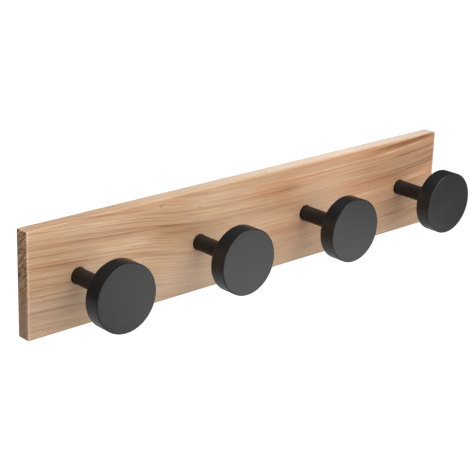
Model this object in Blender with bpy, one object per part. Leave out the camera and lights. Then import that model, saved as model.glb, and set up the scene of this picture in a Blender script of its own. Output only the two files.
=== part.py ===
"""Wall hook rack: a wood board with four black disc knobs on round stems, hung on keyhole plates.

The rack is drawn lying on its back, so that x runs along the board, y up the wall and z out
of the wall, with z = 0 on the face that meets the wall. One empty then tips it upright: the
front looks along -Y, +Z is up, and the origin is the middle of the board's back face.
"""

from math import asin, cos, pi, radians, sin, sqrt

import bmesh
import bpy

# Board
BOARD_LENGTH = 0.500
BOARD_HEIGHT = 0.095
BOARD_THICKNESS = 0.014
BOARD_EDGE_RADIUS = 0.0015

# Knobs: a turned head on a round stem
KNOB_COUNT = 4
KNOB_END_DISTANCE = 0.05125  # from the board's end to the first knob's axis
KNOB_AXIS_HEIGHT = 0.046  # from the board's bottom edge to the knobs' axes
STEM_DIAMETER = 0.0145
STEM_REACH = 0.049  # bare stem between the board and the head
STEM_SEAT_DEPTH = 0.003  # how far the stem is let into the board
STEM_END_CHAMFER = 0.0004
SPIGOT_DIAMETER = 0.008
SPIGOT_LENGTH = 0.008
HEAD_DIAMETER = 0.060
HEAD_THICKNESS = 0.016
HEAD_EDGE_RADIUS = 0.001
HEAD_SEAT_DEPTH = 0.003  # how far the stem's full diameter is let into the head

# Machine screw and washer that draw each stem to the board, from behind
SCREW_DIAMETER = 0.005
SCREW_LENGTH = 0.020  # under the head
SCREW_HEAD_DIAMETER = 0.0095
SCREW_HEAD_HEIGHT = 0.0036
SCREW_HEAD_SINK = 0.0006  # the head's top below the board's back face
SCREW_BORE_RUNOUT = 0.0015  # bore past the screw's end
WASHER_DIAMETER = 0.015
WASHER_THICKNESS = 0.0012

# Keyhole plates, let into the back
PLATE_WIDTH = 0.016
PLATE_THICKNESS = 0.002
PLATE_SINK = 0.0002  # the plate's face below the board's back face
PLATE_TOP_DISTANCE = 0.012  # from the board's top edge to the plate's upper end
KEYHOLE_ENTRY_DIAMETER = 0.0095
KEYHOLE_SLOT_WIDTH = 0.0048
KEYHOLE_TRAVEL = 0.011  # from the entry's centre up to the slot's end centre
HEAD_POCKET_WIDTH = 0.0105  # room for a wall screw's head, behind the plate
HEAD_POCKET_DEPTH = 0.006
PLATE_SCREW_WEB = 0.002  # wood left between the pocket and a plate screw's hole

# Countersunk wood screws that hold the plates
PLATE_SCREW_DIAMETER = 0.0035
PLATE_SCREW_LENGTH = 0.010
PLATE_SCREW_HEAD_DIAMETER = 0.0068
PLATE_SCREW_HEAD_LAND = 0.0002  # straight rim above the cone
PLATE_SCREW_POINT = 0.0025

# Cross recess in every screw head
RECESS_SPAN = 0.0044
RECESS_SLOT = 0.0011
RECESS_DEPTH = 0.0016

# Fits and drawing
FIT = 0.0003  # gap kept wherever two pieces meet
OVERCUT = 0.001  # how far a cutter runs out into the air
EDGE_STEPS = 3
HEAD_SIDES = 48
STEM_SIDES = 32
SMALL_SIDES = 20
MERGE = 1e-6
SMOOTH_BELOW = radians(35)

# Places that several pieces share
KNOB_PITCH = (BOARD_LENGTH - 2 * KNOB_END_DISTANCE) / (KNOB_COUNT - 1)
KNOB_Y = KNOB_AXIS_HEIGHT - BOARD_HEIGHT / 2
SCREW_SEAT_Z = SCREW_HEAD_SINK + SCREW_HEAD_HEIGHT  # under the screw's head
COUNTERBORE_DEPTH = SCREW_SEAT_Z + WASHER_THICKNESS + 2 * FIT
STEM_REAR_Z = BOARD_THICKNESS - STEM_SEAT_DEPTH + FIT
HEAD_REAR_Z = BOARD_THICKNESS + STEM_REACH
HEAD_FRONT_Z = HEAD_REAR_Z + HEAD_THICKNESS
SHOULDER_Z = HEAD_REAR_Z + HEAD_SEAT_DEPTH - FIT  # where the stem steps down to its spigot
PLATE_FRONT_Z = PLATE_SINK + PLATE_THICKNESS
RECESS_FLOOR_Z = PLATE_FRONT_Z + FIT
PLATE_SCREW_OFFSET = (
    KEYHOLE_TRAVEL / 2 + HEAD_POCKET_WIDTH / 2 + PLATE_SCREW_WEB + PLATE_SCREW_DIAMETER / 2 + FIT
)
PLATE_LENGTH = 2 * PLATE_SCREW_OFFSET + PLATE_WIDTH
PLATE_X = (KNOB_COUNT - 2) * KNOB_PITCH / 2  # half way between the two outer knobs of each side
PLATE_Y = BOARD_HEIGHT / 2 - PLATE_TOP_DISTANCE - PLATE_LENGTH / 2


def clear_scene():
    for thing in list(bpy.data.objects):
        bpy.data.objects.remove(thing, do_unlink=True)


def finish(name, colour, roughness, metallic):
    """A plain material for one kind of piece."""
    material = bpy.data.materials.new(name)
    material.use_nodes = True
    shader = material.node_tree.nodes["Principled BSDF"]
    shader.inputs["Base Color"].default_value = (*colour, 1)
    shader.inputs["Roughness"].default_value = roughness
    shader.inputs["Metallic"].default_value = metallic
    return material


def empty(name, place, parent=None):
    point = bpy.data.objects.new(name, None)
    point.location = place
    point.parent = parent
    bpy.context.collection.objects.link(point)
    return point


def piece(name, bm, material, parent):
    """Turns a finished bmesh into a named object, smooth except at its sharp edges."""
    bmesh.ops.remove_doubles(bm, verts=bm.verts, dist=MERGE)
    bmesh.ops.recalc_face_normals(bm, faces=bm.faces)
    mesh = bpy.data.meshes.new(name)
    bm.to_mesh(mesh)
    bm.free()
    mesh.shade_smooth()
    mesh.set_sharp_from_angle(angle=SMOOTH_BELOW)
    thing = bpy.data.objects.new(name, mesh)
    thing.parent = parent
    bpy.context.collection.objects.link(thing)
    if material:
        mesh.materials.append(material)
    else:
        thing.hide_render = True
        thing.display_type = "WIRE"
    return thing


def cut(thing, cutter):
    boolean = thing.modifiers.new(cutter.name, "BOOLEAN")
    boolean.operation = "DIFFERENCE"
    boolean.solver = "EXACT"
    boolean.object = cutter


def arc(centre, radius, start, end, steps):
    """Points along an arc in two dimensions, angles in degrees."""
    angles = [radians(start + (end - start) * i / steps) for i in range(steps + 1)]
    return [(centre[0] + radius * cos(a), centre[1] + radius * sin(a)) for a in angles]


def add_turned(bm, outline, sides, centre=(0, 0), closed=False):
    """Adds an outline of (radius, z) turned once about z."""
    corners = [bm.verts.new((centre[0] + r, centre[1], z)) for r, z in outline]
    ends = corners[1:] + corners[:1] if closed else corners[1:]
    edges = [bm.edges.new(pair) for pair in zip(corners, ends)]
    bmesh.ops.spin(
        bm,
        geom=corners + edges,
        cent=(*centre, 0),
        axis=(0, 0, 1),
        angle=2 * pi,
        steps=sides,
        use_merge=True,
    )
    bmesh.ops.remove_doubles(bm, verts=bm.verts, dist=MERGE)


def add_prism(bm, outline, low, high, centre=(0, 0)):
    """Adds a flat outline of (x, y) pushed from z = low to z = high."""
    base = bm.faces.new([bm.verts.new((centre[0] + x, centre[1] + y, low)) for x, y in outline])
    pushed = bmesh.ops.extrude_face_region(bm, geom=[base], use_keep_orig=True)
    tops = [v for v in pushed["geom"] if isinstance(v, bmesh.types.BMVert)]
    bmesh.ops.translate(bm, verts=tops, vec=(0, 0, high - low))


def turned(name, outline, sides, material, parent, closed=False):
    bm = bmesh.new()
    add_turned(bm, outline, sides, closed=closed)
    return piece(name, bm, material, parent)


def obround(length, width, steps):
    """An outline with straight sides along y and round ends."""
    radius = width / 2
    reach = length / 2 - radius
    return arc((0, reach), radius, 0, 180, steps) + arc((0, -reach), radius, 180, 360, steps)


def keyhole(entry_radius, slot_radius, travel, steps):
    """A round entry below a slot that runs up from it to a round end."""
    half = asin(slot_radius / entry_radius) * 180 / pi
    top = arc((0, travel / 2), slot_radius, 0, 180, steps)
    entry = arc((0, -travel / 2), entry_radius, 90 + half, 450 - half, 2 * steps)
    return top + entry


def cross(span, slot):
    """A plus-shaped outline."""
    s, w = span / 2, slot / 2
    arm = [(s, -w), (s, w), (w, w)]
    quarter_turns = [(1, 0), (0, 1), (-1, 0), (0, -1)]
    return [(x * c - y * d, x * d + y * c) for c, d in quarter_turns for x, y in arm]


def make_root():
    root = empty("rack", (0, 0, 0))
    root.rotation_euler = (pi / 2, 0, 0)
    return root


def knob_places():
    first = -KNOB_PITCH * (KNOB_COUNT - 1) / 2
    return [(first + i * KNOB_PITCH, KNOB_Y) for i in range(KNOB_COUNT)]


def plate_places():
    return {"left": (-PLATE_X, PLATE_Y), "right": (PLATE_X, PLATE_Y)}


def plate_screw_places():
    return {"upper": (0, PLATE_SCREW_OFFSET), "lower": (0, -PLATE_SCREW_OFFSET)}


def stem_hole_outline():
    """Stepped hole through the board: counterbore behind, screw hole, stem seat in front."""
    counterbore = WASHER_DIAMETER / 2 + FIT
    clearance = SCREW_DIAMETER / 2 + FIT
    seat = STEM_DIAMETER / 2 + FIT
    seat_floor = BOARD_THICKNESS - STEM_SEAT_DEPTH
    front = BOARD_THICKNESS + OVERCUT
    return [
        (0, -OVERCUT),
        (counterbore, -OVERCUT),
        (counterbore, COUNTERBORE_DEPTH),
        (clearance, COUNTERBORE_DEPTH),
        (clearance, seat_floor),
        (seat, seat_floor),
        (seat, front),
        (0, front),
    ]


def pilot_hole_outline():
    radius = PLATE_SCREW_DIAMETER / 2 + FIT
    bottom = PLATE_SINK + PLATE_SCREW_LENGTH + FIT
    straight_end = bottom - PLATE_SCREW_POINT
    return [(0, -OVERCUT), (radius, -OVERCUT), (radius, straight_end), (0, bottom)]


def make_board(root):
    """The plank, with the stems' stepped holes and the plates' recesses cut into it."""
    bm = bmesh.new()
    bmesh.ops.create_cube(bm, size=1)
    bmesh.ops.scale(bm, verts=bm.verts, vec=(BOARD_LENGTH, BOARD_HEIGHT, BOARD_THICKNESS))
    bmesh.ops.translate(bm, verts=bm.verts, vec=(0, 0, BOARD_THICKNESS / 2))
    bmesh.ops.bevel(
        bm,
        geom=bm.edges,
        offset=BOARD_EDGE_RADIUS,
        affect="EDGES",
        segments=EDGE_STEPS,
        profile=0.5,
        material=-1,
    )
    wood = finish("oiled_wood", (0.52, 0.33, 0.19), 0.55, 0)
    board = piece("board", bm, wood, root)

    holes = bmesh.new()
    for place in knob_places():
        add_turned(holes, stem_hole_outline(), STEM_SIDES, place)
    cut(board, piece("stem_hole_cutter", holes, None, root))

    recesses = bmesh.new()
    pockets = bmesh.new()
    pilots = bmesh.new()
    recess_outline = obround(PLATE_LENGTH + 2 * FIT, PLATE_WIDTH + 2 * FIT, SMALL_SIDES // 2)
    pocket_outline = obround(KEYHOLE_TRAVEL + HEAD_POCKET_WIDTH, HEAD_POCKET_WIDTH, SMALL_SIDES // 2)
    pocket_floor = RECESS_FLOOR_Z + HEAD_POCKET_DEPTH
    for x, y in plate_places().values():
        add_prism(recesses, recess_outline, -OVERCUT, RECESS_FLOOR_Z, (x, y))
        add_prism(pockets, pocket_outline, -OVERCUT, pocket_floor, (x, y))
        for dx, dy in plate_screw_places().values():
            add_turned(pilots, pilot_hole_outline(), SMALL_SIDES, (x + dx, y + dy))
    cut(board, piece("plate_recess_cutter", recesses, None, root))
    cut(board, piece("head_pocket_cutter", pockets, None, root))
    cut(board, piece("pilot_hole_cutter", pilots, None, root))


def stem_outline():
    """Round bar with a screw bore in its rear end and a spigot at its front end."""
    radius = STEM_DIAMETER / 2
    bore = SCREW_DIAMETER / 2 + FIT
    spigot = SPIGOT_DIAMETER / 2
    tip = SHOULDER_Z + SPIGOT_LENGTH
    bore_end = SCREW_SEAT_Z + SCREW_LENGTH + SCREW_BORE_RUNOUT
    return [
        (0, bore_end + bore / 2),
        (bore, bore_end),
        (bore, STEM_REAR_Z),
        (radius - STEM_END_CHAMFER, STEM_REAR_Z),
        (radius, STEM_REAR_Z + STEM_END_CHAMFER),
        (radius, SHOULDER_Z - STEM_END_CHAMFER),
        (radius - STEM_END_CHAMFER, SHOULDER_Z),
        (spigot, SHOULDER_Z),
        (spigot, tip - STEM_END_CHAMFER),
        (spigot - STEM_END_CHAMFER, tip),
        (0, tip),
    ]


def head_outline():
    """Flat disc with eased edges and a stepped blind seat for the stem in its rear face."""
    radius = HEAD_DIAMETER / 2
    ease = HEAD_EDGE_RADIUS
    seat = STEM_DIAMETER / 2 + FIT
    socket = SPIGOT_DIAMETER / 2 + FIT
    seat_floor = HEAD_REAR_Z + HEAD_SEAT_DEPTH
    socket_floor = SHOULDER_Z + SPIGOT_LENGTH + FIT
    rear_edge = arc((radius - ease, HEAD_REAR_Z + ease), ease, -90, 0, EDGE_STEPS)
    front_edge = arc((radius - ease, HEAD_FRONT_Z - ease), ease, 0, 90, EDGE_STEPS)
    return [
        (0, socket_floor),
        (socket, socket_floor),
        (socket, seat_floor),
        (seat, seat_floor),
        (seat, HEAD_REAR_Z),
        *rear_edge,
        *front_edge,
        (0, HEAD_FRONT_Z),
    ]


def washer_outline():
    inner, outer = SCREW_DIAMETER / 2 + FIT, WASHER_DIAMETER / 2
    low = SCREW_SEAT_Z + FIT
    high = low + WASHER_THICKNESS
    return [(inner, low), (outer, low), (outer, high), (inner, high)]


def pan_screw_outline():
    """Machine screw with a domed pan head, which faces the wall."""
    shank, head = SCREW_DIAMETER / 2, SCREW_HEAD_DIAMETER / 2
    dome = SCREW_HEAD_HEIGHT * 0.4
    tip = SCREW_SEAT_Z + SCREW_LENGTH
    chamfer = shank / 4
    top_edge = arc((head - dome, SCREW_HEAD_SINK + dome), dome, -90, 0, EDGE_STEPS)
    return [
        (0, SCREW_HEAD_SINK),
        *top_edge,
        (head, SCREW_SEAT_Z),
        (shank, SCREW_SEAT_Z),
        (shank, tip - chamfer),
        (shank - chamfer, tip),
        (0, tip),
    ]


def countersunk(head, shank, land, low):
    """The upper part of a countersunk shape: rim, then a right-angled cone down to the shank."""
    return [(head, low), (head, low + land), (shank, low + land + head - shank)]


def plate_screw_outline():
    """Countersunk wood screw, flush with the plate's face and pointed at its end."""
    shank, head = PLATE_SCREW_DIAMETER / 2, PLATE_SCREW_HEAD_DIAMETER / 2
    tip = PLATE_SINK + PLATE_SCREW_LENGTH
    return [
        (0, PLATE_SINK),
        *countersunk(head, shank, PLATE_SCREW_HEAD_LAND, PLATE_SINK),
        (shank, tip - PLATE_SCREW_POINT),
        (0, tip),
    ]


def cross_recess(name, low, parent):
    bm = bmesh.new()
    add_prism(bm, cross(RECESS_SPAN, RECESS_SLOT), low - OVERCUT, low + RECESS_DEPTH)
    return piece(name, bm, None, parent)


def make_knobs(root):
    """Head, stem, washer and screw of each knob, all on one axis."""
    black_head = finish("satin_black_head", (0.035, 0.034, 0.033), 0.42, 0)
    black_stem = finish("satin_black_stem", (0.026, 0.024, 0.023), 0.45, 0)
    washer_zinc = finish("zinc_washer", (0.62, 0.63, 0.65), 0.38, 1)
    screw_zinc = finish("zinc_stem_screw", (0.60, 0.61, 0.63), 0.34, 1)
    for number, place in enumerate(knob_places(), start=1):
        axis = empty(f"knob_axis_{number}", (*place, 0), root)
        turned(f"knob_head_{number}", head_outline(), HEAD_SIDES, black_head, axis)
        turned(f"knob_stem_{number}", stem_outline(), STEM_SIDES, black_stem, axis)
        turned(f"stem_washer_{number}", washer_outline(), STEM_SIDES, washer_zinc, axis, closed=True)
        screw = turned(f"stem_screw_{number}", pan_screw_outline(), SMALL_SIDES, screw_zinc, axis)
        cut(screw, cross_recess(f"stem_screw_recess_{number}", SCREW_HEAD_SINK, axis))


def countersink_outline():
    """Hole in the plate for a plate screw, clear of its head and shank by the fit."""
    head = PLATE_SCREW_HEAD_DIAMETER / 2 + FIT * sqrt(2)
    shank = PLATE_SCREW_DIAMETER / 2 + FIT
    cone = countersunk(head, shank, PLATE_SCREW_HEAD_LAND, PLATE_SINK)
    through = PLATE_FRONT_Z + OVERCUT
    return [(0, -OVERCUT), (head, -OVERCUT), *cone[1:], (shank, through), (0, through)]


def make_hangers(root):
    """Two keyhole plates, each with its upper and lower screw."""
    plate_zinc = finish("zinc_plate", (0.66, 0.67, 0.69), 0.36, 1)
    screw_zinc = finish("zinc_plate_screw", (0.58, 0.59, 0.61), 0.34, 1)
    steps = SMALL_SIDES // 2
    for side, place in plate_places().items():
        axis = empty(f"hanger_axis_{side}", (*place, 0), root)
        body = bmesh.new()
        add_prism(body, obround(PLATE_LENGTH, PLATE_WIDTH, steps), PLATE_SINK, PLATE_FRONT_Z)
        plate = piece(f"hanger_plate_{side}", body, plate_zinc, axis)

        hole = bmesh.new()
        outline = keyhole(KEYHOLE_ENTRY_DIAMETER / 2, KEYHOLE_SLOT_WIDTH / 2, KEYHOLE_TRAVEL, steps)
        add_prism(hole, outline, -OVERCUT, PLATE_FRONT_Z + OVERCUT)
        cut(plate, piece(f"keyhole_cutter_{side}", hole, None, axis))

        sinks = bmesh.new()
        for end, offset in plate_screw_places().items():
            add_turned(sinks, countersink_outline(), SMALL_SIDES, offset)
            spot = empty(f"hanger_screw_axis_{side}_{end}", (*offset, 0), axis)
            name = f"hanger_screw_{side}_{end}"
            screw = turned(name, plate_screw_outline(), SMALL_SIDES, screw_zinc, spot)
            cut(screw, cross_recess(f"recess_{side}_{end}", PLATE_SINK, spot))
        cut(plate, piece(f"countersink_cutter_{side}", sinks, None, axis))


def main():
    clear_scene()
    root = make_root()
    make_board(root)
    make_knobs(root)
    make_hangers(root)


main()
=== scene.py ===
from math import asin, cos, degrees, pi, radians, sin

import bmesh
import bpy
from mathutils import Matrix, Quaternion, Vector


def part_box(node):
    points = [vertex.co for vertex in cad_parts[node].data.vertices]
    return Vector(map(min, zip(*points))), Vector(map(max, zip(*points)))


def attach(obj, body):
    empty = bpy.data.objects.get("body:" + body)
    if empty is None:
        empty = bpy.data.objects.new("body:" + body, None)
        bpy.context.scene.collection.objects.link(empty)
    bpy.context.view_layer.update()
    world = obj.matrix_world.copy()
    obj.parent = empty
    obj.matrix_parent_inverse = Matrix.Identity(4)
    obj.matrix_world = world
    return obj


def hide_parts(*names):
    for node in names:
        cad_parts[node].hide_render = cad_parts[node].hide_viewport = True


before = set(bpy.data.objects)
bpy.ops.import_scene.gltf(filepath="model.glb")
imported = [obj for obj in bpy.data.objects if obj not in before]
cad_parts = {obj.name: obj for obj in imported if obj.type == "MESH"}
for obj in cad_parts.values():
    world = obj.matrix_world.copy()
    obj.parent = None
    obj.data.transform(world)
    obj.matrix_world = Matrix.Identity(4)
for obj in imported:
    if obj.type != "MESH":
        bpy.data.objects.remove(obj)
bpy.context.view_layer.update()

# The rack's own frame: x along the board, -y out of its front, z up.
# A piece is drawn about the y axis, then moved to where its CAD node is.
fit = 0.0003  # gap between two pieces that touch
overcut = 0.001  # how far a cutter runs out into the air
tiny = 1e-6  # points closer than this are one point
onRim = 1e-5  # a point this close to a circle is on it
sharpAbove = 40  # degrees; a steeper edge stays sharp
coneGap = fit * 1.414  # the same gap beside a 45 degree cone, measured square to the axis
knobNumbers = range(1, 5)
plateSides = ("left", "right")
plateEnds = ("upper", "lower")


def nodeBox(node):
    low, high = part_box(node)
    return low, high, (low + high) / 2


# Meshes

def turnProfile(profile, steps, closed=False):
    # a profile of (radius, y), spun about the y axis
    bm = bmesh.new()
    corners = [bm.verts.new((radius, y, 0)) for radius, y in profile]
    nexts = corners[1:] + corners[:1] if closed else corners[1:]
    edges = [bm.edges.new(pair) for pair in zip(corners, nexts)]
    bmesh.ops.spin(
        bm, geom=corners + edges, cent=(0, 0, 0), axis=(0, 1, 0), angle=2 * pi,
        steps=steps, use_merge=True,
    )
    bmesh.ops.remove_doubles(bm, verts=bm.verts, dist=tiny)
    bmesh.ops.recalc_face_normals(bm, faces=bm.faces)
    return bm


def easeRim(bm, radius, y, width, segments):
    # rounds the edges that lie on one circle of a turned piece
    def onCircle(vert):
        offCircle = Vector((vert.co.x, vert.co.z)).length - radius
        return abs(offCircle) < onRim and abs(vert.co.y - y) < onRim

    rim = [edge for edge in bm.edges if all(onCircle(vert) for vert in edge.verts)]
    bmesh.ops.bevel(
        bm, geom=rim, offset=width, offset_type="OFFSET", affect="EDGES",
        segments=segments, profile=0.5, material=-1,
    )


def pushOutline(outline, back, front, taper=1):
    # a flat outline of (x, z) pushed along y, and drawn in or out at its front
    bm = bmesh.new()
    base = bm.faces.new([bm.verts.new((x, back, z)) for x, z in outline])
    pushed = bmesh.ops.extrude_face_region(bm, geom=[base], use_keep_orig=True)
    tops = [item for item in pushed["geom"] if isinstance(item, bmesh.types.BMVert)]
    bmesh.ops.translate(bm, verts=tops, vec=(0, front - back, 0))
    bmesh.ops.scale(bm, verts=tops, vec=(taper, 1, taper))
    bmesh.ops.recalc_face_normals(bm, faces=bm.faces)
    return bm


def arcPoints(middle, radius, start, end, steps):
    angles = [radians(start + (end - start) * i / steps) for i in range(steps + 1)]
    return [(middle[0] + radius * cos(a), middle[1] + radius * sin(a)) for a in angles]


def obround(length, width, steps):
    radius = width / 2
    reach = length / 2 - radius
    upper = arcPoints((0, reach), radius, 0, 180, steps)
    lower = arcPoints((0, -reach), radius, 180, 360, steps)
    return upper + lower


def meshObject(name, bm):
    mesh = bpy.data.meshes.new(name)
    bm.to_mesh(mesh)
    bm.free()
    thing = bpy.data.objects.new(name, mesh)
    bpy.context.scene.collection.objects.link(thing)
    return thing


def joinSolids(thing, operation, others):
    # Boolean with each of the others, kept in the mesh; the others are then thrown away
    for other in others:
        step = thing.modifiers.new(other.name, "BOOLEAN")
        step.operation = operation
        step.solver = "EXACT"
        step.object = other
    depsgraph = bpy.context.evaluated_depsgraph_get()
    result = bpy.data.meshes.new_from_object(thing.evaluated_get(depsgraph))
    thing.modifiers.clear()
    thing.data = result
    for other in others:
        bpy.data.objects.remove(other, do_unlink=True)


def finishPiece(thing, place, material, node):
    # moves the mesh to its place, closes it up, and puts the piece on the body for its CAD node
    mesh = thing.data
    bm = bmesh.new()
    bm.from_mesh(mesh)
    bmesh.ops.translate(bm, verts=bm.verts, vec=place)
    bmesh.ops.remove_doubles(bm, verts=bm.verts, dist=tiny)
    bmesh.ops.recalc_face_normals(bm, faces=bm.faces)
    bm.to_mesh(mesh)
    bm.free()
    mesh.materials.clear()
    mesh.materials.append(material)
    mesh.shade_smooth()
    mesh.set_sharp_from_angle(angle=radians(sharpAbove))
    shading = thing.modifiers.new("flatFacesStayFlat", "WEIGHTED_NORMAL")
    shading.keep_sharp = True
    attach(thing, "root")
    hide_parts(node)


# Materials

def newMaterial(name):
    material = bpy.data.materials.new(name)
    material.use_nodes = True
    tree = material.node_tree
    return material, tree, tree.nodes["Principled BSDF"]


def addNode(tree, kind, inputs=None, **settings):
    # an input is a value, or the socket that feeds it
    node = tree.nodes.new("ShaderNode" + kind)
    for name, value in settings.items():
        setattr(node, name, value)
    for key, value in (inputs or {}).items():
        if isinstance(value, bpy.types.NodeSocket):
            tree.links.new(value, node.inputs[key])
        else:
            node.inputs[key].default_value = value
    return node


def maths(tree, operation, *values):
    return addNode(tree, "Math", dict(enumerate(values)), operation=operation).outputs[0]


def objectPosition(tree):
    return addNode(tree, "TexCoord").outputs["Object"]


def centred(tree, place):
    # object coordinates measured from a piece's own middle
    inputs = {"Vector": objectPosition(tree), "Location": [-value for value in place]}
    return addNode(tree, "Mapping", inputs, vector_type="POINT").outputs[0]


def stretched(tree, vector, factors):
    inputs = {0: vector, 1: factors}
    return addNode(tree, "VectorMath", inputs, operation="MULTIPLY").outputs[0]


def noise(tree, vector, scale=1, detail=2, roughness=0.5):
    inputs = {"Vector": vector, "Scale": scale, "Detail": detail, "Roughness": roughness}
    return addNode(tree, "TexNoise", inputs).outputs[0]


def fade(tree, value, fromLow, fromHigh, toLow=0, toHigh=1):
    # a smooth step from one value to the other
    inputs = {0: value, 1: fromLow, 2: fromHigh, 3: toLow, 4: toHigh}
    return addNode(tree, "MapRange", inputs, interpolation_type="SMOOTHSTEP").outputs[0]


def spread(tree, value, reach):
    # a noise value as a number about zero, up to reach each way
    return maths(tree, "MULTIPLY", maths(tree, "SUBTRACT", value, 0.5), 2 * reach)


def ramp(tree, value, stops):
    node = addNode(tree, "ValToRGB", {0: value})
    elements = node.color_ramp.elements
    for i, (place, colour) in enumerate(stops):
        stop = elements[i] if i < 2 else elements.new(place)
        stop.position = place
        stop.color = (*colour, 1)
    return node.outputs[0]


def mixColours(tree, amount, first, second, blend="MIX"):
    node = addNode(tree, "Mix", data_type="RGBA", blend_type=blend)
    for index, value in ((0, amount), (6, first), (7, second)):
        socket = node.inputs[index]
        if isinstance(value, bpy.types.NodeSocket):
            tree.links.new(value, socket)
        elif isinstance(value, tuple):
            socket.default_value = (*value, 1)
        else:
            socket.default_value = value
    return node.outputs[2]


def bump(tree, shader, height, distance, strength):
    normal = addNode(tree, "Bump", {"Height": height, "Distance": distance, "Strength": strength})
    tree.links.new(normal.outputs[0], shader.inputs["Normal"])


# The wood

woodLook = {
    "ringSlant": 0.75,  # how far the growth rings drop from front to back
    "tone": 0.67,  # place on the palette before any figure
    "palette": [
        (0.00, (0.120, 0.050, 0.024)),
        (0.25, (0.300, 0.146, 0.068)),
        (0.45, (0.460, 0.256, 0.132)),
        (0.62, (0.565, 0.340, 0.192)),
        (0.80, (0.670, 0.455, 0.285)),
        (1.00, (0.790, 0.615, 0.440)),
    ],
    "redder": (1.06, 0.90, 0.82),
    "olive": (0.95, 1.0, 0.82),
    # colour mixed in towards the lower edge, darker and greyer
    "lowerGrey": (0.45, 0.33, 0.235),
    "lowerGreyAmount": 0.42,
    # pale colour painted on the long edge faces and the ends' rims as a painted sheen and
    # highlight
    "paintedSheen": (0.92, 0.80, 0.67),
    "pores": (0.17, 0.09, 0.05),
    "poreAmount": 0.55,
    "roughness": 0.47,
    "relief": 0.00012,
}

# How finely each part of the figure is drawn: along the grain, through the board, across the rings
grainScale = {
    "wander": (5, 20, 24),
    "broad": (3.2, 20, 95),
    "patch": (14, 20, 28),
    "lateWood": (6, 45, 700),
    "fine": (9, 90, 720),
    "hair": (24, 600, 2300),
    "redness": (6, 15, 60),
    "pores": (110, 2600, 2600),
}
endScale = {"rings": (70, 380, 0), "blotch": (130, 90, 0)}  # through the board, across the rings
grainStrength = {
    "wander": 0.0016,
    "broad": 0.18,
    "patch": 0.10,
    "lateWood": -0.20,
    "fine": 0.33,
    "hair": 0.18,
    "redness": 0.5,
    "feather": 0.0028,
    "fuzz": 0.0006,
}

# Height of one grain line along the board, as (share of the length, share of grainRise)
grainRise = 0.025
grainLine = [
    (0, 0.90),
    (0.22, 0.53),
    (0.36, 0.13),
    (0.46, 0.0),
    (0.8, 0.0),
    (0.91, 0.08),
    (1, 0.29),
]

# Streaks of the figure, and broad patches; two patches under the knobs are painted light and
# painted shade.
# Columns: middle x and z, slope, bow, half length, half width, shade (below zero is darker), red
# (below zero is olive)
streaks = [
    (-0.200, 0.0280, -0.085, 0.0, 0.085, 0.0036, -0.15, 0.10),
    (-0.120, 0.0225, -0.075, 0.0, 0.060, 0.0022, -0.12, 0.00),
    (-0.110, 0.0290, -0.130, 0.0, 0.052, 0.0024, -0.08, 0.10),
    (-0.225, 0.0135, -0.080, 0.0, 0.052, 0.0062, -0.15, 0.35),
    (-0.228, -0.0060, -0.050, 0.0, 0.040, 0.0060, -0.08, 0.10),
    (-0.090, 0.0130, -0.060, 0.0, 0.035, 0.0034, -0.13, 0.10),
    (-0.110, 0.0415, 0.100, 0.0, 0.004, 0.0010, -0.30, 0.10),
    (-0.067, 0.0315, 0.000, 0.0, 0.004, 0.0012, -0.14, 0.10),
    (-0.165, 0.0380, -0.130, 0.0, 0.035, 0.0013, 0.20, 0.00),
    (-0.150, 0.0140, -0.080, 0.0, 0.040, 0.0040, 0.12, 0.20),
    (0.090, 0.0360, 0.005, 0.15, 0.070, 0.0013, 0.27, 0.00),
    (0.205, 0.0395, 0.080, 0.50, 0.050, 0.0012, 0.30, 0.20),
    (0.205, 0.0435, 0.040, 0.0, 0.065, 0.0034, -0.24, 0.50),
    (0.030, 0.0115, -0.010, 0.0, 0.040, 0.0014, -0.18, 0.15),
    (0.160, 0.0125, 0.010, 0.0, 0.050, 0.0014, -0.12, 0.15),
    (0.045, 0.0275, 0.000, 0.0, 0.018, 0.0050, -0.10, -0.50),
    (0.140, 0.0010, 0.010, 0.6, 0.045, 0.0011, 0.24, 0.00),
    (0.225, 0.0065, 0.000, 0.0, 0.025, 0.0035, 0.14, 0.00),
    (0.202, -0.0285, -0.020, 0.0, 0.036, 0.0024, -0.18, 0.10),
    (0.050, -0.0140, 0.000, 0.0, 0.050, 0.0140, -0.05, 0.30),
    (-0.210, -0.0290, -0.060, 0.0, 0.060, 0.0120, -0.05, -0.20),
    (-0.225, -0.0115, -0.050, 0.0, 0.040, 0.0016, -0.26, 0.10),
    (-0.220, -0.0170, -0.060, 0.0, 0.040, 0.0014, -0.24, 0.00),
    (-0.225, -0.0250, -0.055, 0.0, 0.045, 0.0017, -0.28, 0.00),
    (-0.215, -0.0405, -0.045, 0.0, 0.045, 0.0013, -0.20, 0.00),
    (-0.220, -0.0215, -0.060, 0.0, 0.040, 0.0012, 0.16, 0.00),
    (-0.215, -0.0360, -0.050, 0.0, 0.045, 0.0012, 0.18, 0.00),
    (-0.030, 0.0300, 0.000, 0.0, 0.070, 0.0180, 0.08, 0.00),
    (0.095, 0.0250, 0.000, 0.0, 0.065, 0.0150, 0.08, 0.10),
    (0.205, 0.0265, 0.000, 0.0, 0.130, 0.0420, -0.15, 0.10),
    (0.028, 0.0270, 0.000, 0.0, 0.055, 0.0240, -0.06, 0.40),
    # painted light: a pale patch below the first two knobs, lifting the shade they cast
    (-0.082, -0.0260, 0.000, 0.0, 0.060, 0.0300, 0.13, 0.00),
    (0.225, 0.0290, 0.000, 0.0, 0.050, 0.0240, -0.11, 0.00),
    # painted shade: a darker patch under the fourth knob
    (0.195, -0.0180, 0.000, 0.0, 0.040, 0.0240, -0.07, 0.00),
]


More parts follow.
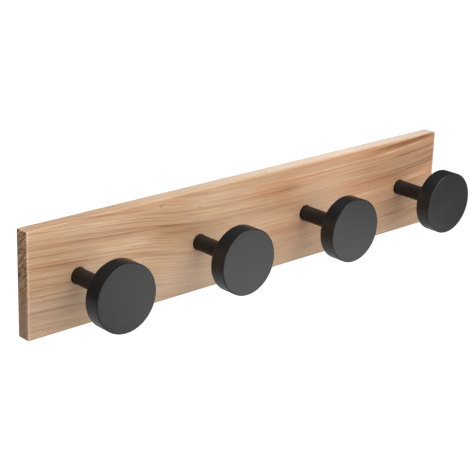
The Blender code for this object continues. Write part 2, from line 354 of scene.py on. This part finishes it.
def streakGroup():
    # how much of one streak shows at a point
    group = bpy.data.node_groups.new("woodStreak", "ShaderNodeTree")
    names = ("Along", "Up", "Middle X", "Middle Z", "Slope", "Bow", "Half length", "Half width")
    for name in names:
        group.interface.new_socket(name=name, in_out="INPUT", socket_type="NodeSocketFloat")
    group.interface.new_socket(name="Mask", in_out="OUTPUT", socket_type="NodeSocketFloat")
    given = group.nodes.new("NodeGroupInput").outputs
    along = maths(group, "SUBTRACT", given["Along"], given["Middle X"])
    lean = maths(group, "MULTIPLY_ADD", along, given["Bow"], given["Slope"])
    line = maths(group, "MULTIPLY_ADD", along, lean, given["Middle Z"])
    off = maths(group, "ABSOLUTE", maths(group, "SUBTRACT", given["Up"], line))
    across = fade(group, off, 0, given["Half width"], 1, 0)
    reach = maths(group, "ABSOLUTE", along)
    inner = maths(group, "MULTIPLY", given["Half length"], 0.3)
    lengthwise = fade(group, reach, inner, given["Half length"], 1, 0)
    result = group.nodes.new("NodeGroupOutput")
    group.links.new(maths(group, "MULTIPLY", across, lengthwise), result.inputs["Mask"])
    return group


def oiledWood(length, thickness, height):
    material, tree, shader = newMaterial("oiled_wood")
    split = addNode(tree, "SeparateXYZ", {0: objectPosition(tree)}).outputs
    x, y, z = split[0], split[1], split[2]

    # the grain runs along x, dips and rises with grainLine, and slants through the thickness
    share = maths(tree, "MULTIPLY_ADD", x, 1 / length, 0.5)
    lineNode = addNode(tree, "FloatCurve", {1: share})
    points = lineNode.mapping.curves[0].points
    for place, rise in grainLine[1:-1]:
        points.new(place, rise)
    points[0].location = grainLine[0]
    points[len(points) - 1].location = grainLine[-1]
    lineNode.mapping.update()
    up = maths(tree, "MULTIPLY_ADD", maths(tree, "ADD", y, thickness), woodLook["ringSlant"], z)
    rings = maths(tree, "SUBTRACT", up, maths(tree, "MULTIPLY", lineNode.outputs[0], grainRise))
    depth = maths(tree, "MULTIPLY_ADD", z, -woodLook["ringSlant"], y)
    flow = addNode(tree, "CombineXYZ", {0: x, 1: depth, 2: rings}).outputs[0]
    wander = noise(tree, stretched(tree, flow, grainScale["wander"]), detail=1)
    wavy = maths(tree, "ADD", rings, spread(tree, wander, grainStrength["wander"]))
    flow = addNode(tree, "CombineXYZ", {0: x, 1: depth, 2: wavy}).outputs[0]

    broad = noise(tree, stretched(tree, flow, grainScale["broad"]))
    patch = noise(tree, stretched(tree, flow, grainScale["patch"]))
    fine = noise(tree, stretched(tree, flow, grainScale["fine"]), detail=3, roughness=0.7)
    hair = noise(tree, stretched(tree, flow, grainScale["hair"]), roughness=0.6)
    lateWood = noise(tree, stretched(tree, flow, grainScale["lateWood"]), roughness=0.6)

    lateWood = maths(tree, "MULTIPLY", fade(tree, lateWood, 0.53, 0.63), grainStrength["lateWood"])
    lines = maths(tree, "ADD", lateWood, spread(tree, fine, grainStrength["fine"]))
    lines = maths(tree, "ADD", lines, spread(tree, hair, grainStrength["hair"]))
    # the lines are stronger towards both ends of the board
    livelyLeft = fade(tree, x, -0.22, 0.02, 1, 0.65)
    livelyRight = fade(tree, x, 0.08, 0.20, 0.5, 0.95)
    lines = maths(tree, "MULTIPLY", lines, maths(tree, "MAXIMUM", livelyLeft, livelyRight))
    tone = maths(tree, "ADD", lines, woodLook["tone"])
    tone = maths(tree, "ADD", tone, spread(tree, broad, grainStrength["broad"]))
    tone = maths(tree, "ADD", tone, spread(tree, patch, grainStrength["patch"]))

    # the figure's own streaks, with feathered edges, and the broad patches, among them the painted
    # light and painted shade under the knobs
    ragged = maths(tree, "ADD", up, spread(tree, fine, grainStrength["feather"]))
    ragged = maths(tree, "ADD", ragged, spread(tree, hair, grainStrength["fuzz"]))
    group = streakGroup()
    redness = noise(tree, stretched(tree, flow, grainScale["redness"]), detail=1)
    redness = spread(tree, redness, grainStrength["redness"])
    redness = maths(tree, "ADD", redness, fade(tree, x, -0.06, 0.10, 0, 0.18))
    for *shape, shade, red in streaks:
        streak = addNode(tree, "Group", node_tree=group)
        tree.links.new(x, streak.inputs[0])
        tree.links.new(ragged, streak.inputs[1])
        for socket, value in zip(streak.inputs[2:], shape):
            socket.default_value = value
        mask = streak.outputs[0]
        tone = maths(tree, "MULTIPLY_ADD", mask, shade, tone)
        redness = maths(tree, "MULTIPLY_ADD", mask, red, redness)

    # the wood is darker and greyer towards the lower edge, following the grain, and end grain
    # soaks up more oil
    lowerGrey = fade(tree, maths(tree, "ADD", rings, spread(tree, patch, 0.01)), -0.015, -0.055)
    fromMiddle = maths(tree, "ABSOLUTE", x)
    ending = fade(tree, fromMiddle, length / 2 - 0.0012, length / 2 - 0.0002)
    acrossEnd = addNode(tree, "CombineXYZ", {0: depth, 1: rings}).outputs[0]
    endRings = noise(tree, stretched(tree, acrossEnd, endScale["rings"]), detail=3, roughness=0.65)
    blotch = noise(tree, stretched(tree, acrossEnd, endScale["blotch"]))
    ringDepth = fade(tree, z, -0.02, 0.02, 0.35, 1.35)
    endTone = maths(tree, "MULTIPLY_ADD", tone, 0.30, 0.20)
    endTone = maths(tree, "MULTIPLY_ADD", spread(tree, endRings, 1), ringDepth, endTone)
    endTone = maths(tree, "ADD", endTone, spread(tree, blotch, 0.25))
    tone = addNode(tree, "Mix", {0: ending, 2: tone, 3: endTone}, data_type="FLOAT").outputs[0]

    colour = ramp(tree, tone, woodLook["palette"])
    redder = mixColours(tree, 1, colour, woodLook["redder"], "MULTIPLY")
    olive = mixColours(tree, 1, colour, woodLook["olive"], "MULTIPLY")
    colour = mixColours(tree, fade(tree, redness, 0, 0.6), colour, redder)
    colour = mixColours(tree, fade(tree, redness, 0, -0.6), colour, olive)
    lowerGrey = maths(tree, "MULTIPLY", lowerGrey, woodLook["lowerGreyAmount"])
    colour = mixColours(tree, lowerGrey, colour, woodLook["lowerGrey"])

    # painted sheen: the long edge faces and the ends' rims are painted paler, in patches and more
    # so towards the right end, standing in for the sheen and highlights they catch
    offCentre = maths(tree, "ABSOLUTE", maths(tree, "ADD", y, thickness / 2))
    inside = fade(tree, offCentre, thickness / 2, thickness / 2 - 0.0026)
    edgeUp = fade(tree, maths(tree, "ABSOLUTE", z), height / 2 - 0.0010, height / 2 - 0.0001)
    edgeUp = maths(tree, "MULTIPLY", edgeUp, inside)
    edgeUp = maths(tree, "MULTIPLY", edgeUp, fade(tree, x, -0.45 * length, 0.2 * length, 0.12, 1))
    edgeSide = fade(tree, fromMiddle, length / 2 - 0.0028, length / 2 - 0.0008, 0, 0.5)
    paintedSheen = maths(tree, "MAXIMUM", edgeUp, edgeSide)
    paintedSheen = maths(tree, "MULTIPLY", paintedSheen, maths(tree, "SUBTRACT", 1, ending))
    paintedSheen = maths(tree, "MULTIPLY", paintedSheen, maths(tree, "MULTIPLY_ADD", patch, 0.4, 0.52))
    colour = mixColours(tree, paintedSheen, colour, woodLook["paintedSheen"])

    # pores: short dark dashes along the grain, dots on the end grain
    dashes = noise(tree, stretched(tree, flow, grainScale["pores"]), detail=1)
    pores = fade(tree, dashes, 0.66, 0.78)
    poreShade = maths(tree, "MULTIPLY", pores, woodLook["poreAmount"])
    colour = mixColours(tree, poreShade, colour, woodLook["pores"])
    tree.links.new(colour, shader.inputs["Base Color"])

    rough = maths(tree, "ADD", spread(tree, hair, 0.10), woodLook["roughness"])
    rough = maths(tree, "MULTIPLY_ADD", pores, 0.25, rough)
    rough = maths(tree, "MULTIPLY_ADD", ending, 0.15, rough)
    tree.links.new(rough, shader.inputs["Roughness"])
    relief = maths(tree, "MULTIPLY_ADD", fine, 0.5, maths(tree, "MULTIPLY", hair, 0.7))
    relief = maths(tree, "MULTIPLY_ADD", pores, -1.2, relief)
    bump(tree, shader, relief, woodLook["relief"], 0.6)
    return material


# The black coat

coatLook = {
    "head": {
        "colour": (0.0088, 0.0089, 0.0090),
        "dust": (0.0125, 0.0126, 0.0128),
        "roughness": 0.36,
        "specular": 0.42,
    },
    "stem": {
        # the stem's colour and dust carry a brown tint that is a painted reflection of the wood
        # board
        "colour": (0.0092, 0.0082, 0.0074),
        "dust": (0.0130, 0.0115, 0.0104),
        "roughness": 0.42,
        "specular": 0.24,
    },
    "worn": (0.024, 0.023, 0.022),  # where the coat is rubbed thin
    "cloudScale": 55,
    "peelScale": 1500,
    "gritScale": 5200,
    "wornScale": 160,
    "relief": 0.00004,
}


def powderCoat(name, place, kind, rimRadius, rimYs):
    # a satin powder coat: a fine orange-peel skin, faint clouding, and rims rubbed a little paler
    look = coatLook[kind]
    material, tree, shader = newMaterial(name)
    local = centred(tree, place)
    cloud = noise(tree, local, scale=coatLook["cloudScale"], detail=3)
    peel = noise(tree, local, scale=coatLook["peelScale"])
    grit = noise(tree, local, scale=coatLook["gritScale"], detail=1)
    colour = mixColours(tree, fade(tree, cloud, 0.35, 0.70), look["colour"], look["dust"])

    split = addNode(tree, "SeparateXYZ", {0: local}).outputs
    flat = addNode(tree, "CombineXYZ", {0: split[0], 2: split[2]}).outputs[0]
    radius = addNode(tree, "VectorMath", {0: flat}, operation="LENGTH").outputs["Value"]
    nearRim = fade(tree, radius, rimRadius - 0.0009, rimRadius - 0.0003)
    worn = 0
    for rimY in rimYs:
        offRim = maths(tree, "ABSOLUTE", maths(tree, "SUBTRACT", split[1], rimY - place[1]))
        worn = maths(tree, "ADD", fade(tree, offRim, 0.0008, 0.0002), worn)
    worn = maths(tree, "MULTIPLY", worn, nearRim)
    patches = fade(tree, noise(tree, local, scale=coatLook["wornScale"], detail=3), 0.42, 0.75)
    worn = maths(tree, "MULTIPLY", worn, maths(tree, "MULTIPLY_ADD", patches, 0.7, 0.25))
    colour = mixColours(tree, worn, colour, coatLook["worn"])
    tree.links.new(colour, shader.inputs["Base Color"])

    shader.inputs["Specular IOR Level"].default_value = look["specular"]
    rough = maths(tree, "ADD", spread(tree, cloud, 0.07), look["roughness"])
    rough = maths(tree, "ADD", rough, spread(tree, peel, 0.06))
    rough = maths(tree, "MULTIPLY_ADD", worn, -0.12, rough)
    tree.links.new(rough, shader.inputs["Roughness"])
    relief = maths(tree, "MULTIPLY_ADD", grit, 0.3, peel)
    bump(tree, shader, relief, coatLook["relief"], 0.5)
    return material


# The zinc

zincLook = {
    "tints": [
        (0.30, (0.60, 0.62, 0.68)),
        (0.50, (0.68, 0.69, 0.70)),
        (0.70, (0.72, 0.69, 0.60)),
    ],
    "tintScale": 140,
    "dull": (0.42, 0.43, 0.45),
    "dullScale": 620,
    "roughness": 0.34,
    "relief": 0.00002,
}


def zincPlate(name, place, drawn):
    # bright zinc with faint yellow and blue tints, dull spots, and fine lines drawn in it
    material, tree, shader = newMaterial(name)
    local = centred(tree, place)
    tint = noise(tree, local, scale=zincLook["tintScale"])
    colour = ramp(tree, tint, zincLook["tints"])
    spots = fade(tree, noise(tree, local, scale=zincLook["dullScale"], detail=3), 0.55, 0.75)
    colour = mixColours(tree, maths(tree, "MULTIPLY", spots, 0.35), colour, zincLook["dull"])
    tree.links.new(colour, shader.inputs["Base Color"])
    shader.inputs["Metallic"].default_value = 1
    lines = noise(tree, stretched(tree, local, drawn))
    rough = maths(tree, "ADD", spread(tree, lines, 0.12), zincLook["roughness"])
    rough = maths(tree, "MULTIPLY_ADD", spots, 0.2, rough)
    tree.links.new(rough, shader.inputs["Roughness"])
    bump(tree, shader, lines, zincLook["relief"], 0.5)
    return material


# The board

boardShape = {
    "edge": 0.0015,  # radius of the eased outer edges
    "edgeSegments": 6,
    "rimEase": 0.00025,  # small chamfer where a hole breaks the surface
    "screwHole": 0.0028,  # radius
    "pocketWidth": 0.0105,
    "pocketDepth": 0.006,
    "holeSteps": 96,
    "pilotSteps": 48,
    "roundSteps": 24,  # around one rounded end
}


def stemHoleCutter(number):
    shape = boardShape
    stemLow, stemHigh, stemMiddle = nodeBox(f"knob_stem_{number}")
    washerLow, washerHigh, _ = nodeBox(f"stem_washer_{number}")
    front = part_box("board")[0].y
    seat = (stemHigh.x - stemLow.x) / 2 + fit
    seatFloor = stemHigh.y + fit
    counterbore = (washerHigh.x - washerLow.x) / 2 + fit
    ease = shape["rimEase"]
    bm = turnProfile([
        (0, overcut),
        (counterbore + ease + overcut, overcut),
        (counterbore, -ease),
        (counterbore, washerLow.y - fit),
        (shape["screwHole"], washerLow.y - fit),
        (shape["screwHole"], seatFloor),
        (seat, seatFloor),
        (seat, front + ease),
        (seat + ease + overcut, front - overcut),
        (0, front - overcut),
    ], shape["holeSteps"])
    bmesh.ops.translate(bm, verts=bm.verts, vec=(stemMiddle.x, 0, stemMiddle.z))
    return meshObject("stemHole", bm)


def plateCutters(side):
    # the plate's recess, the deeper pocket for the wall screw's head, and the pilot holes
    shape = boardShape
    low, high, middle = nodeBox(f"hanger_plate_{side}")
    length = high.z - low.z + 2 * fit
    width = high.x - low.x + 2 * fit
    floor = low.y - fit
    recess = pushOutline(obround(length, width, shape["roundSteps"]), overcut, floor)
    pocketLength = plateShape["travel"] + shape["pocketWidth"]
    outline = obround(pocketLength, shape["pocketWidth"], shape["roundSteps"])
    pocket = pushOutline(outline, overcut, floor - shape["pocketDepth"])
    cutters = []
    for name, bm in (("plateRecess", recess), ("headPocket", pocket)):
        bmesh.ops.translate(bm, verts=bm.verts, vec=(middle.x, 0, middle.z))
        cutters.append(meshObject(name, bm))
    for end in plateEnds:
        screwLow, _, screwMiddle = nodeBox(f"hanger_screw_{side}_{end}")
        radius = plateScrewShape["shank"] + fit
        tip = screwLow.y - fit
        bm = turnProfile([
            (0, overcut),
            (radius, overcut),
            (radius, tip + plateScrewShape["point"]),
            (0, tip),
        ], shape["pilotSteps"])
        bmesh.ops.translate(bm, verts=bm.verts, vec=(screwMiddle.x, 0, screwMiddle.z))
        cutters.append(meshObject("pilotHole", bm))
    return cutters


def makeBoard():
    shape = boardShape
    low, high, middle = nodeBox("board")
    size = high - low
    bm = bmesh.new()
    bmesh.ops.create_cube(bm, size=1)
    bmesh.ops.scale(bm, verts=bm.verts, vec=size)
    bmesh.ops.translate(bm, verts=bm.verts, vec=middle)
    bmesh.ops.bevel(
        bm, geom=bm.edges, offset=shape["edge"], affect="EDGES",
        segments=shape["edgeSegments"], profile=0.5, material=-1,
    )
    board = meshObject("oiled_board", bm)
    cutters = [stemHoleCutter(number) for number in knobNumbers]
    for side in plateSides:
        cutters += plateCutters(side)
    joinSolids(board, "DIFFERENCE", cutters)
    finishPiece(board, (0, 0, 0), oiledWood(size.x, size.y, size.z), "board")
    print("board made")


# The knobs

headShape = {
    "frontEase": 0.0010,
    "rearEase": 0.0010,
    "easeSegments": 8,
    "seatEase": 0.0002,
    "seatSegments": 2,
    "steps": 192,
}
stemShape = {
    "spigot": 0.004,  # radius of the end that sits in the head
    "spigotLength": 0.008,
    "bore": 0.0028,  # radius of the screw's hole
    "boreRunOut": 0.0015,  # how far it goes on past the screw's tip
    "ease": 0.0004,
    "easeSegments": 3,
    "steps": 96,
}


def makeHead(number):
    shape = headShape
    low, high, middle = nodeBox(f"knob_head_{number}")
    stemLow, stemHigh, _ = nodeBox(f"knob_stem_{number}")
    radius = (high.x - low.x) / 2
    seat = (stemHigh.x - stemLow.x) / 2 + fit
    shoulder = stemLow.y + stemShape["spigotLength"]
    socket = stemShape["spigot"] + fit
    bm = turnProfile([
        (0, stemLow.y - fit),
        (socket, stemLow.y - fit),
        (socket, shoulder - fit),
        (seat, shoulder - fit),
        (seat, high.y),
        (radius, high.y),
        (radius, low.y),
        (0, low.y),
    ], shape["steps"])
    easeRim(bm, radius, high.y, shape["rearEase"], shape["easeSegments"])
    easeRim(bm, radius, low.y, shape["frontEase"], shape["easeSegments"])
    easeRim(bm, seat, high.y, shape["seatEase"], shape["seatSegments"])
    name = f"coated_head_{number}"
    coat = powderCoat(name, middle, "head", radius, (low.y, high.y))
    place = (middle.x, 0, middle.z)
    finishPiece(meshObject(name, bm), place, coat, f"knob_head_{number}")


def makeStem(number):
    shape = stemShape
    low, high, middle = nodeBox(f"knob_stem_{number}")
    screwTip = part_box(f"stem_screw_{number}")[0].y
    radius = (high.x - low.x) / 2
    shoulder = low.y + shape["spigotLength"]
    boreEnd = screwTip - shape["boreRunOut"]
    bm = turnProfile([
        (0, boreEnd - shape["bore"] / 2),
        (shape["bore"], boreEnd),
        (shape["bore"], high.y),
        (radius, high.y),
        (radius, shoulder),
        (shape["spigot"], shoulder),
        (shape["spigot"], low.y),
        (0, low.y),
    ], shape["steps"])
    for rim, y in ((radius, high.y), (radius, shoulder), (shape["spigot"], low.y)):
        easeRim(bm, rim, y, shape["ease"], shape["easeSegments"])
    name = f"coated_stem_{number}"
    coat = powderCoat(name, middle, "stem", radius, (shoulder,))
    place = (middle.x, 0, middle.z)
    finishPiece(meshObject(name, bm), place, coat, f"knob_stem_{number}")


# Washers, screws and keyhole plates

# Radii, lengths and the lines drawn in the zinc; shank is the radius over the thread
washerShape = {
    "bore": 0.0028,
    "ease": 0.0002,
    "easeSegments": 2,
    "steps": 72,
    "drawn": (900, 900, 900),
}
recessShape = {"span": 0.0044, "slot": 0.0011, "depth": 0.0016, "taper": 0.55}
panScrewShape = {
    "headHeight": 0.0036,
    "crown": 0.4,  # share of the head's height that is rounded
    "crownSegments": 6,
    "underEase": 0.0002,
    "underSegments": 2,
    "shank": 0.0025,
    "pitch": 0.0008,
    "threadDepth": 0.0004,
    "point": 0.0006,
    "steps": 48,
    "drawn": (700, 2500, 700),
}
plateScrewShape = {
    "land": 0.0002,  # straight rim above the cone
    "neck": 0.001,  # plain shank below the cone
    "shank": 0.00175,
    "pitch": 0.0013,
    "threadDepth": 0.0005,
    "point": 0.0025,
    "steps": 48,
    "drawn": (700, 2500, 700),
}
plateShape = {
    "entry": 0.00475,
    "slot": 0.0024,
    "travel": 0.011,  # from the middle of the entry to the middle of the slot's end
    "steps": 24,
    "holeSteps": 48,
    "drawn": (260, 2500, 2600),
}
threadShape = {
    "overlap": 0.0005,  # how far a thread runs up into its head or neck
    "spareTurns": 4,  # the ends of the spun zigzag are cut off square
    "blunt": 0.15,  # a tip's radius as a share of the shank's
}


def crossCutter(back):
    # plus-shaped recess that narrows to its floor
    shape = recessShape
    reach = shape["span"] / 2
    half = shape["slot"] / 2
    arm = [(reach, -half), (reach, half), (half, half)]
    quarterTurns = [(1, 0), (0, 1), (-1, 0), (0, -1)]
    outline = [(x * c - z * s, x * s + z * c) for c, s in quarterTurns for x, z in arm]
    floor = back - shape["depth"]
    return meshObject("crossRecess", pushOutline(outline, back + overcut, floor, shape["taper"]))


def threadedShank(shape, start, tip):
    # a zigzag spun with its pitch, cut off square at both ends, and drawn in to the point
    radius = shape["shank"]
    pitch = shape["pitch"]
    steps = shape["steps"] // 2
    root = radius - shape["threadDepth"]
    turns = int((start - tip) / pitch) + threadShape["spareTurns"]
    # one turn's root and crest, as (share of the pitch, radius)
    oneTurn = ((0, root), (0.25, root), (0.5, radius), (0.62, radius))
    bm = bmesh.new()
    corners = []
    for turn in range(turns):
        y = start + pitch - turn * pitch
        for drop, reach in oneTurn:
            corners.append(bm.verts.new((reach, y - drop * pitch, 0)))
    edges = [bm.edges.new(pair) for pair in zip(corners, corners[1:])]
    bmesh.ops.spin(
        bm, geom=corners + edges, cent=(0, 0, 0), axis=(0, 1, 0), angle=2 * pi,
        steps=steps, dvec=(0, pitch / steps, 0), use_merge=False,
    )
    bmesh.ops.remove_doubles(bm, verts=bm.verts, dist=tiny)
    for height, outward in ((start, 1), (tip, -1)):
        everything = bm.verts[:] + bm.edges[:] + bm.faces[:]
        cut = bmesh.ops.bisect_plane(
            bm, geom=everything, dist=tiny, plane_co=(0, height, 0),
            plane_no=(0, outward, 0), clear_outer=True,
        )
        rim = [item for item in cut["geom_cut"] if isinstance(item, bmesh.types.BMEdge)]
        bmesh.ops.holes_fill(bm, edges=rim, sides=0)
    point = shape["point"]
    for vert in bm.verts:
        narrow = min(1, (vert.co.y - tip + point * threadShape["blunt"]) / point)
        vert.co.x *= narrow
        vert.co.z *= narrow
    bmesh.ops.recalc_face_normals(bm, faces=bm.faces)
    return meshObject("thread", bm)


def makeWasher(number):
    shape = washerShape
    low, high, middle = nodeBox(f"stem_washer_{number}")
    radius = (high.x - low.x) / 2
    corners = [(shape["bore"], high.y), (radius, high.y), (radius, low.y), (shape["bore"], low.y)]
    bm = turnProfile(corners, shape["steps"], closed=True)
    for rim, y in corners:
        easeRim(bm, rim, y, shape["ease"], shape["easeSegments"])
    name = f"zinc_washer_{number}"
    zinc = zincPlate(name, middle, shape["drawn"])
    place = (middle.x, 0, middle.z)
    finishPiece(meshObject(name, bm), place, zinc, f"stem_washer_{number}")


def makePanScrew(number):
    shape = panScrewShape
    low, high, middle = nodeBox(f"stem_screw_{number}")
    radius = (high.x - low.x) / 2
    underHead = high.y - shape["headHeight"]
    corners = [(0, high.y), (radius, high.y), (radius, underHead), (0, underHead)]
    bm = turnProfile(corners, shape["steps"])
    easeRim(bm, radius, high.y, shape["headHeight"] * shape["crown"], shape["crownSegments"])
    easeRim(bm, radius, underHead, shape["underEase"], shape["underSegments"])
    name = f"zinc_screw_{number}"
    screw = meshObject(name, bm)
    joinSolids(screw, "DIFFERENCE", [crossCutter(high.y)])
    joinSolids(screw, "UNION", [threadedShank(shape, underHead + threadShape["overlap"], low.y)])
    zinc = zincPlate(name, middle, shape["drawn"])
    finishPiece(screw, (middle.x, 0, middle.z), zinc, f"stem_screw_{number}")


def makePlateScrew(side, end):
    shape = plateScrewShape
    node = f"hanger_screw_{side}_{end}"
    low, high, middle = nodeBox(node)
    radius = (high.x - low.x) / 2
    coneEnd = high.y - shape["land"] - (radius - shape["shank"])
    neckEnd = coneEnd - shape["neck"]
    bm = turnProfile([
        (0, high.y),
        (radius, high.y),
        (radius, high.y - shape["land"]),
        (shape["shank"], coneEnd),
        (shape["shank"], neckEnd),
        (0, neckEnd),
    ], shape["steps"])
    name = f"wood_screw_{side}_{end}"
    screw = meshObject(name, bm)
    joinSolids(screw, "DIFFERENCE", [crossCutter(high.y)])
    joinSolids(screw, "UNION", [threadedShank(shape, neckEnd + threadShape["overlap"], low.y)])
    zinc = zincPlate(name, middle, shape["drawn"])
    finishPiece(screw, (middle.x, 0, middle.z), zinc, node)


def makePlate(side):
    shape = plateShape
    node = f"hanger_plate_{side}"
    low, high, middle = nodeBox(node)
    bm = pushOutline(obround(high.z - low.z, high.x - low.x, shape["steps"]), high.y, low.y)
    bmesh.ops.translate(bm, verts=bm.verts, vec=(0, 0, middle.z))
    name = f"keyhole_plate_{side}"
    plate = meshObject(name, bm)

    # the round entry below, open where the slot's straight sides run up from it
    half = degrees(asin(shape["slot"] / shape["entry"]))
    reach = shape["travel"] / 2
    slotEnd = arcPoints((0, reach), shape["slot"], 0, 180, shape["steps"])
    entry = arcPoints((0, -reach), shape["entry"], 90 + half, 450 - half, 2 * shape["steps"])
    keyhole = pushOutline(slotEnd + entry, overcut, low.y - overcut)
    bmesh.ops.translate(keyhole, verts=keyhole.verts, vec=(0, 0, middle.z))
    cutters = [meshObject("keyhole", keyhole)]
    for end in plateEnds:
        screwLow, screwHigh, screwMiddle = nodeBox(f"hanger_screw_{side}_{end}")
        head = (screwHigh.x - screwLow.x) / 2 + coneGap
        shank = plateScrewShape["shank"] + fit
        land = high.y - plateScrewShape["land"]
        bm = turnProfile([
            (0, overcut),
            (head, overcut),
            (head, land),
            (shank, land - (head - shank)),
            (shank, low.y - overcut),
            (0, low.y - overcut),
        ], shape["holeSteps"])
        bmesh.ops.translate(bm, verts=bm.verts, vec=(0, 0, screwMiddle.z))
        cutters.append(meshObject("countersink", bm))
    joinSolids(plate, "DIFFERENCE", cutters)
    zinc = zincPlate(name, middle, shape["drawn"])
    finishPiece(plate, (middle.x, 0, 0), zinc, node)


# Floor, light and camera

studio = {
    "floorHeight": -2.0,
    "floorSize": 120,
    "floorColour": (0.85, 0.85, 0.85, 1),
    "floorRoughness": 0.9,
    "floorGlow": 1.0,
    "backdrop": 1.0,  # white seen behind the object
    "room": 0.10,  # light from the sides and above
    "table": 0.62,  # light from below
    "horizon": (-0.45, -0.05),  # heights between which one gives way to the other
}
lamps = [
    # name, place, aim, size, watts, whether it lights matt surfaces too
    ("softboxLeft", (-1.1, -1.7, 1.0), (0, 0, 0), (2.6, 2.6), 34, True),
    ("softboxRight", (0.7, -1.9, 0.9), (0, 0, 0), (2.6, 2.6), 26, True),
    ("softboxTop", (0.2, -0.3, 1.6), (0, 0, 0), (1.2, 1.2), 20, True),
    ("sheenCard", (0.205, -0.355, -0.16), (0.205, -0.355, 0), (0.47, 0.27), 0.90, False),
]
cameraView = {
    "place": (-0.85763, -0.9109, 0.43592),
    "aim": (-0.0381, -0.0296, 0.0035),
    "roll": 1.87,  # degrees
    "lens": 109.98,
    "farthest": 500,
}


def makeStage():
    bm = bmesh.new()
    bmesh.ops.create_grid(bm, x_segments=1, y_segments=1, size=studio["floorSize"] / 2)
    bmesh.ops.translate(bm, verts=bm.verts, vec=(0, 0, studio["floorHeight"]))
    floor = meshObject("studio_floor", bm)
    material, _, shader = newMaterial("pale_floor")
    shader.inputs["Base Color"].default_value = studio["floorColour"]
    shader.inputs["Roughness"].default_value = studio["floorRoughness"]
    shader.inputs["Emission Color"].default_value = (1, 1, 1, 1)
    shader.inputs["Emission Strength"].default_value = studio["floorGlow"]
    floor.data.materials.append(material)
    floor.visible_diffuse = False  # the light from below is set by the world, so that it is even
    floor.visible_glossy = False

    world = bpy.data.worlds.new("studio")
    bpy.context.scene.world = world
    world.use_nodes = True
    tree = world.node_tree
    direction = addNode(tree, "TexCoord").outputs["Generated"]
    split = addNode(tree, "SeparateXYZ", {0: direction}).outputs
    roomLight = fade(tree, split[2], *studio["horizon"], studio["table"], studio["room"])
    seen = addNode(tree, "LightPath").outputs["Is Camera Ray"]
    mixed = addNode(tree, "Mix", {0: seen, 2: roomLight, 3: studio["backdrop"]}, data_type="FLOAT")
    tree.links.new(mixed.outputs[0], tree.nodes["Background"].inputs["Strength"])
    tree.nodes["Background"].inputs["Color"].default_value = (1, 1, 1, 1)

    for name, place, aim, (width, height), watts, onMatt in lamps:
        lamp = bpy.data.lights.new(name, "AREA")
        lamp.energy = watts
        lamp.shape = "RECTANGLE"
        lamp.size = width
        lamp.size_y = height
        lampObject = bpy.data.objects.new(name, lamp)
        lampObject.location = place
        towards = Vector(aim) - Vector(place)
        lampObject.rotation_euler = towards.to_track_quat("-Z", "Y").to_euler()
        lampObject.visible_camera = False
        lampObject.visible_diffuse = onMatt
        bpy.context.scene.collection.objects.link(lampObject)
    bpy.context.scene.view_settings.view_transform = "Standard"


def makeCamera():
    camera = bpy.data.cameras.new("camera")
    camera.lens = cameraView["lens"]
    camera.clip_end = cameraView["farthest"]
    cameraObject = bpy.data.objects.new("camera", camera)
    place = Vector(cameraView["place"])
    aim = Vector(cameraView["aim"]) - place
    turn = aim.to_track_quat("-Z", "Y") @ Quaternion((0, 0, 1), radians(cameraView["roll"]))
    cameraObject.location = place
    cameraObject.rotation_mode = "QUATERNION"
    cameraObject.rotation_quaternion = turn
    bpy.context.scene.collection.objects.link(cameraObject)
    bpy.context.scene.camera = cameraObject


makeStage()
makeCamera()
makeBoard()
for number in knobNumbers:
    makeHead(number)
    makeStem(number)
    makeWasher(number)
    makePanScrew(number)
print("knobs made")
for side in plateSides:
    makePlate(side)
    for end in plateEnds:
        makePlateScrew(side, end)
print("hangers made")
